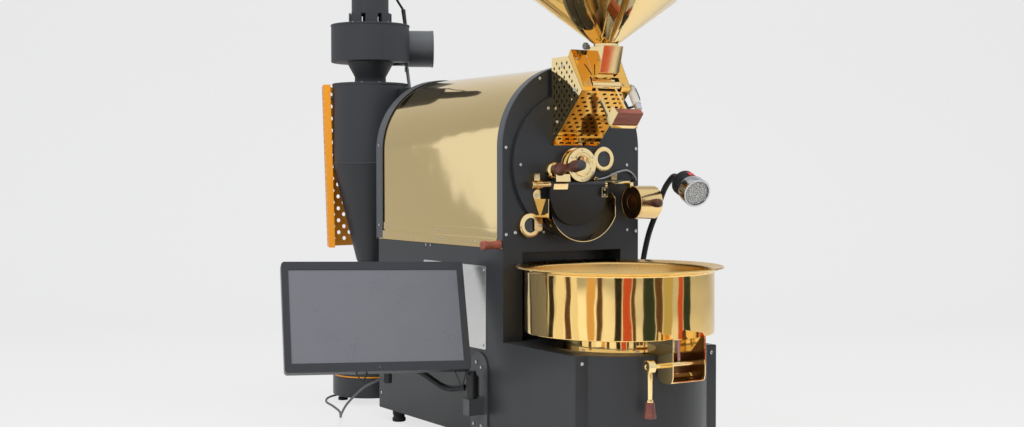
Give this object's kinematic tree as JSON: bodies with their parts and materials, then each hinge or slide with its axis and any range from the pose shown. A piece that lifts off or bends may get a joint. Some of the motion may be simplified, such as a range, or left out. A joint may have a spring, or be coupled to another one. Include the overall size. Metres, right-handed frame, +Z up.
{
  "type": "drum coffee roaster",
  "caption": "Tabletop drum coffee roaster: hopper and feed gate, turning drum, weighted discharge door, cooling tray with agitator, cyclone with blower, side display on an arm and a lamp.",
  "frame": {"origin": "on the table, at the centre of the box of everything but the display's cable", "axes": "+Z up, -Y towards the machine's front, +X to its right side, so the display on its arm is at -X and the lamp at +X"},
  "size_m": [0.7602, 1.266, 1.0606],
  "materials": {
    "charcoal": "satin powder coat",
    "black": "matte",
    "gold": "brushed gold",
    "gold_mirror": "polished gold",
    "orange": "satin",
    "red_wood": "oiled",
    "dark_wood": "oiled",
    "steel": "brushed",
    "grey": "satin",
    "screen": "gloss",
    "red": "gloss",
    "cable": "matte",
    "belt": "matte",
    "bezel": "matte"
  },
  "bodies": {
    "roaster": {"base_pan": "charcoal", "cabinet_shell": "charcoal", "base_front_panel": "charcoal", "base_top_plate": "charcoal", "deck_plate": "steel", "bulkhead": "charcoal", "front_plate": "charcoal", "rear_plate": "charcoal", "drum_cover": "gold_mirror", "drum_face": "charcoal", "hub_housing": "gold", "upper_sight_ring": "gold", "lower_sight_ring": "gold", "trier_port": "gold", "discharge_trough": "gold", "probe": "steel", "feed_chute": "gold", "feed_guard": "gold", "hopper_neck": "gold", "hopper": "gold", "feed_sensor": "steel", "cooling_tray": "gold", "tray_screen": "steel", "tray_chute": "gold", "screen_bracket": "charcoal", "gooseneck": "black", "lamp_head": "black", "cyclone_body": "charcoal", "blower_housing": "charcoal", "blower_motor": "charcoal", "chaff_tube": "charcoal", "cyclone_guard": "orange", "collector_can": "charcoal", "drive_motor": "grey", "drive_belt": "belt", "heater_element": "steel", "agitator_motor": "grey", "cooling_fan": "charcoal", "monitor_cable": "cable"},
    "drum": {"drum": "steel"},
    "motor_pulley": {"motor_pulley": "steel"},
    "agitator": {"agitator": "steel"},
    "cooling_impeller": {"cooling_impeller": "steel"},
    "blower_impeller": {"blower_impeller": "steel"},
    "discharge_door": {"discharge_door": "charcoal", "door_weight": "gold", "door_knob": "red_wood"},
    "feed_yoke": {"feed_yoke": "gold", "yoke_bar": "red_wood"},
    "trier": {"trier_scoop": "steel", "trier_handle": "dark_wood"},
    "gate_handle": {"gate_handle": "gold"},
    "tray_gate": {"tray_gate": "steel"},
    "gate_link": {"gate_link": "steel"},
    "damper": {"damper_slide": "steel", "damper_handle": "red_wood"},
    "monitor_arm": {"monitor_arm": "charcoal"},
    "display": {"monitor_housing": "bezel", "monitor_screen": "screen"},
    "lamp_switch": {"lamp_switch": "red"}
  },
  "joints": [
    {"name": "drum_spin", "type": "hinge", "parent": "roaster", "child": "drum", "pos_m": [0.18376, -0.266, 0.573], "axis": [0, 1, 0], "continuous": true},
    {"name": "motor_pulley_spin", "type": "hinge", "parent": "roaster", "child": "motor_pulley", "pos_m": [0.18376, 0.184, 0.33], "axis": [0, 1, 0], "continuous": true},
    {"name": "agitator_spin", "type": "hinge", "parent": "roaster", "child": "agitator", "pos_m": [0.18376, -0.42235, 0.272], "axis": [0, 0, 1], "continuous": true},
    {"name": "cooling_impeller_spin", "type": "hinge", "parent": "roaster", "child": "cooling_impeller", "pos_m": [0.17376, -0.116, 0.07], "axis": [0, 0, 1], "continuous": true},
    {"name": "blower_impeller_spin", "type": "hinge", "parent": "roaster", "child": "blower_impeller", "pos_m": [0.11776, 0.506, 0.84], "axis": [0, 0, 1], "continuous": true},
    {"name": "discharge_door_hinge", "type": "hinge", "parent": "roaster", "child": "discharge_door", "pos_m": [0.18376, -0.292, 0.534], "axis": [-1, 0, 0], "range_deg": [0, 70]},
    {"name": "feed_yoke_hinge", "type": "hinge", "parent": "roaster", "child": "feed_yoke", "pos_m": [0.18376, -0.376, 0.727], "axis": [-1, 0, 0], "range_deg": [0, 38]},
    {"name": "trier_pull", "type": "slide", "parent": "roaster", "child": "trier", "axis": [0, -0.9945, 0.1045], "range_m": [0, 0.095]},
    {"name": "gate_handle_turn", "type": "hinge", "parent": "roaster", "child": "gate_handle", "pos_m": [0.18376, -0.611, 0.212], "axis": [-1, 0, 0], "range_deg": [0, 45]},
    {"name": "tray_gate_hinge", "type": "hinge", "parent": "roaster", "child": "tray_gate", "pos_m": [0.18376, -0.566, 0.263], "axis": [1, 0, 0], "range_deg": [0, 20]},
    {"name": "gate_link_hinge", "type": "hinge", "parent": "tray_gate", "child": "gate_link", "pos_m": [0.18376, -0.597, 0.26], "axis": [-1, 0, 0], "range_deg": [0, 28.5]},
    {"name": "damper_pull", "type": "slide", "parent": "roaster", "child": "damper", "axis": [-1, 0, 0], "range_m": [0, 0.035]},
    {"name": "monitor_arm_swing", "type": "hinge", "parent": "roaster", "child": "monitor_arm", "pos_m": [-0.00624, -0.186, 0.13], "axis": [0, 0, 1], "range_deg": [-8, 35]},
    {"name": "display_tilt", "type": "hinge", "parent": "monitor_arm", "child": "display", "pos_m": [-0.18398, -0.10994, 0.23279], "axis": [0.9608, -0.2773, 0], "range_deg": [-12, 10]},
    {"name": "lamp_switch_press", "type": "slide", "parent": "roaster", "child": "lamp_switch", "axis": [0.0332, 0.3449, -0.938], "range_m": [0, 0.0015], "stiffness_N_per_m": 300}
  ],
  "couplings": [
    {"joint": "motor_pulley_spin", "follows": "drum_spin", "ratio": 2.4},
    {"joint": "tray_gate_hinge", "follows": "gate_handle_turn", "ratio": 0.4422},
    {"joint": "gate_link_hinge", "follows": "gate_handle_turn", "ratio": 0.629}
  ]
}
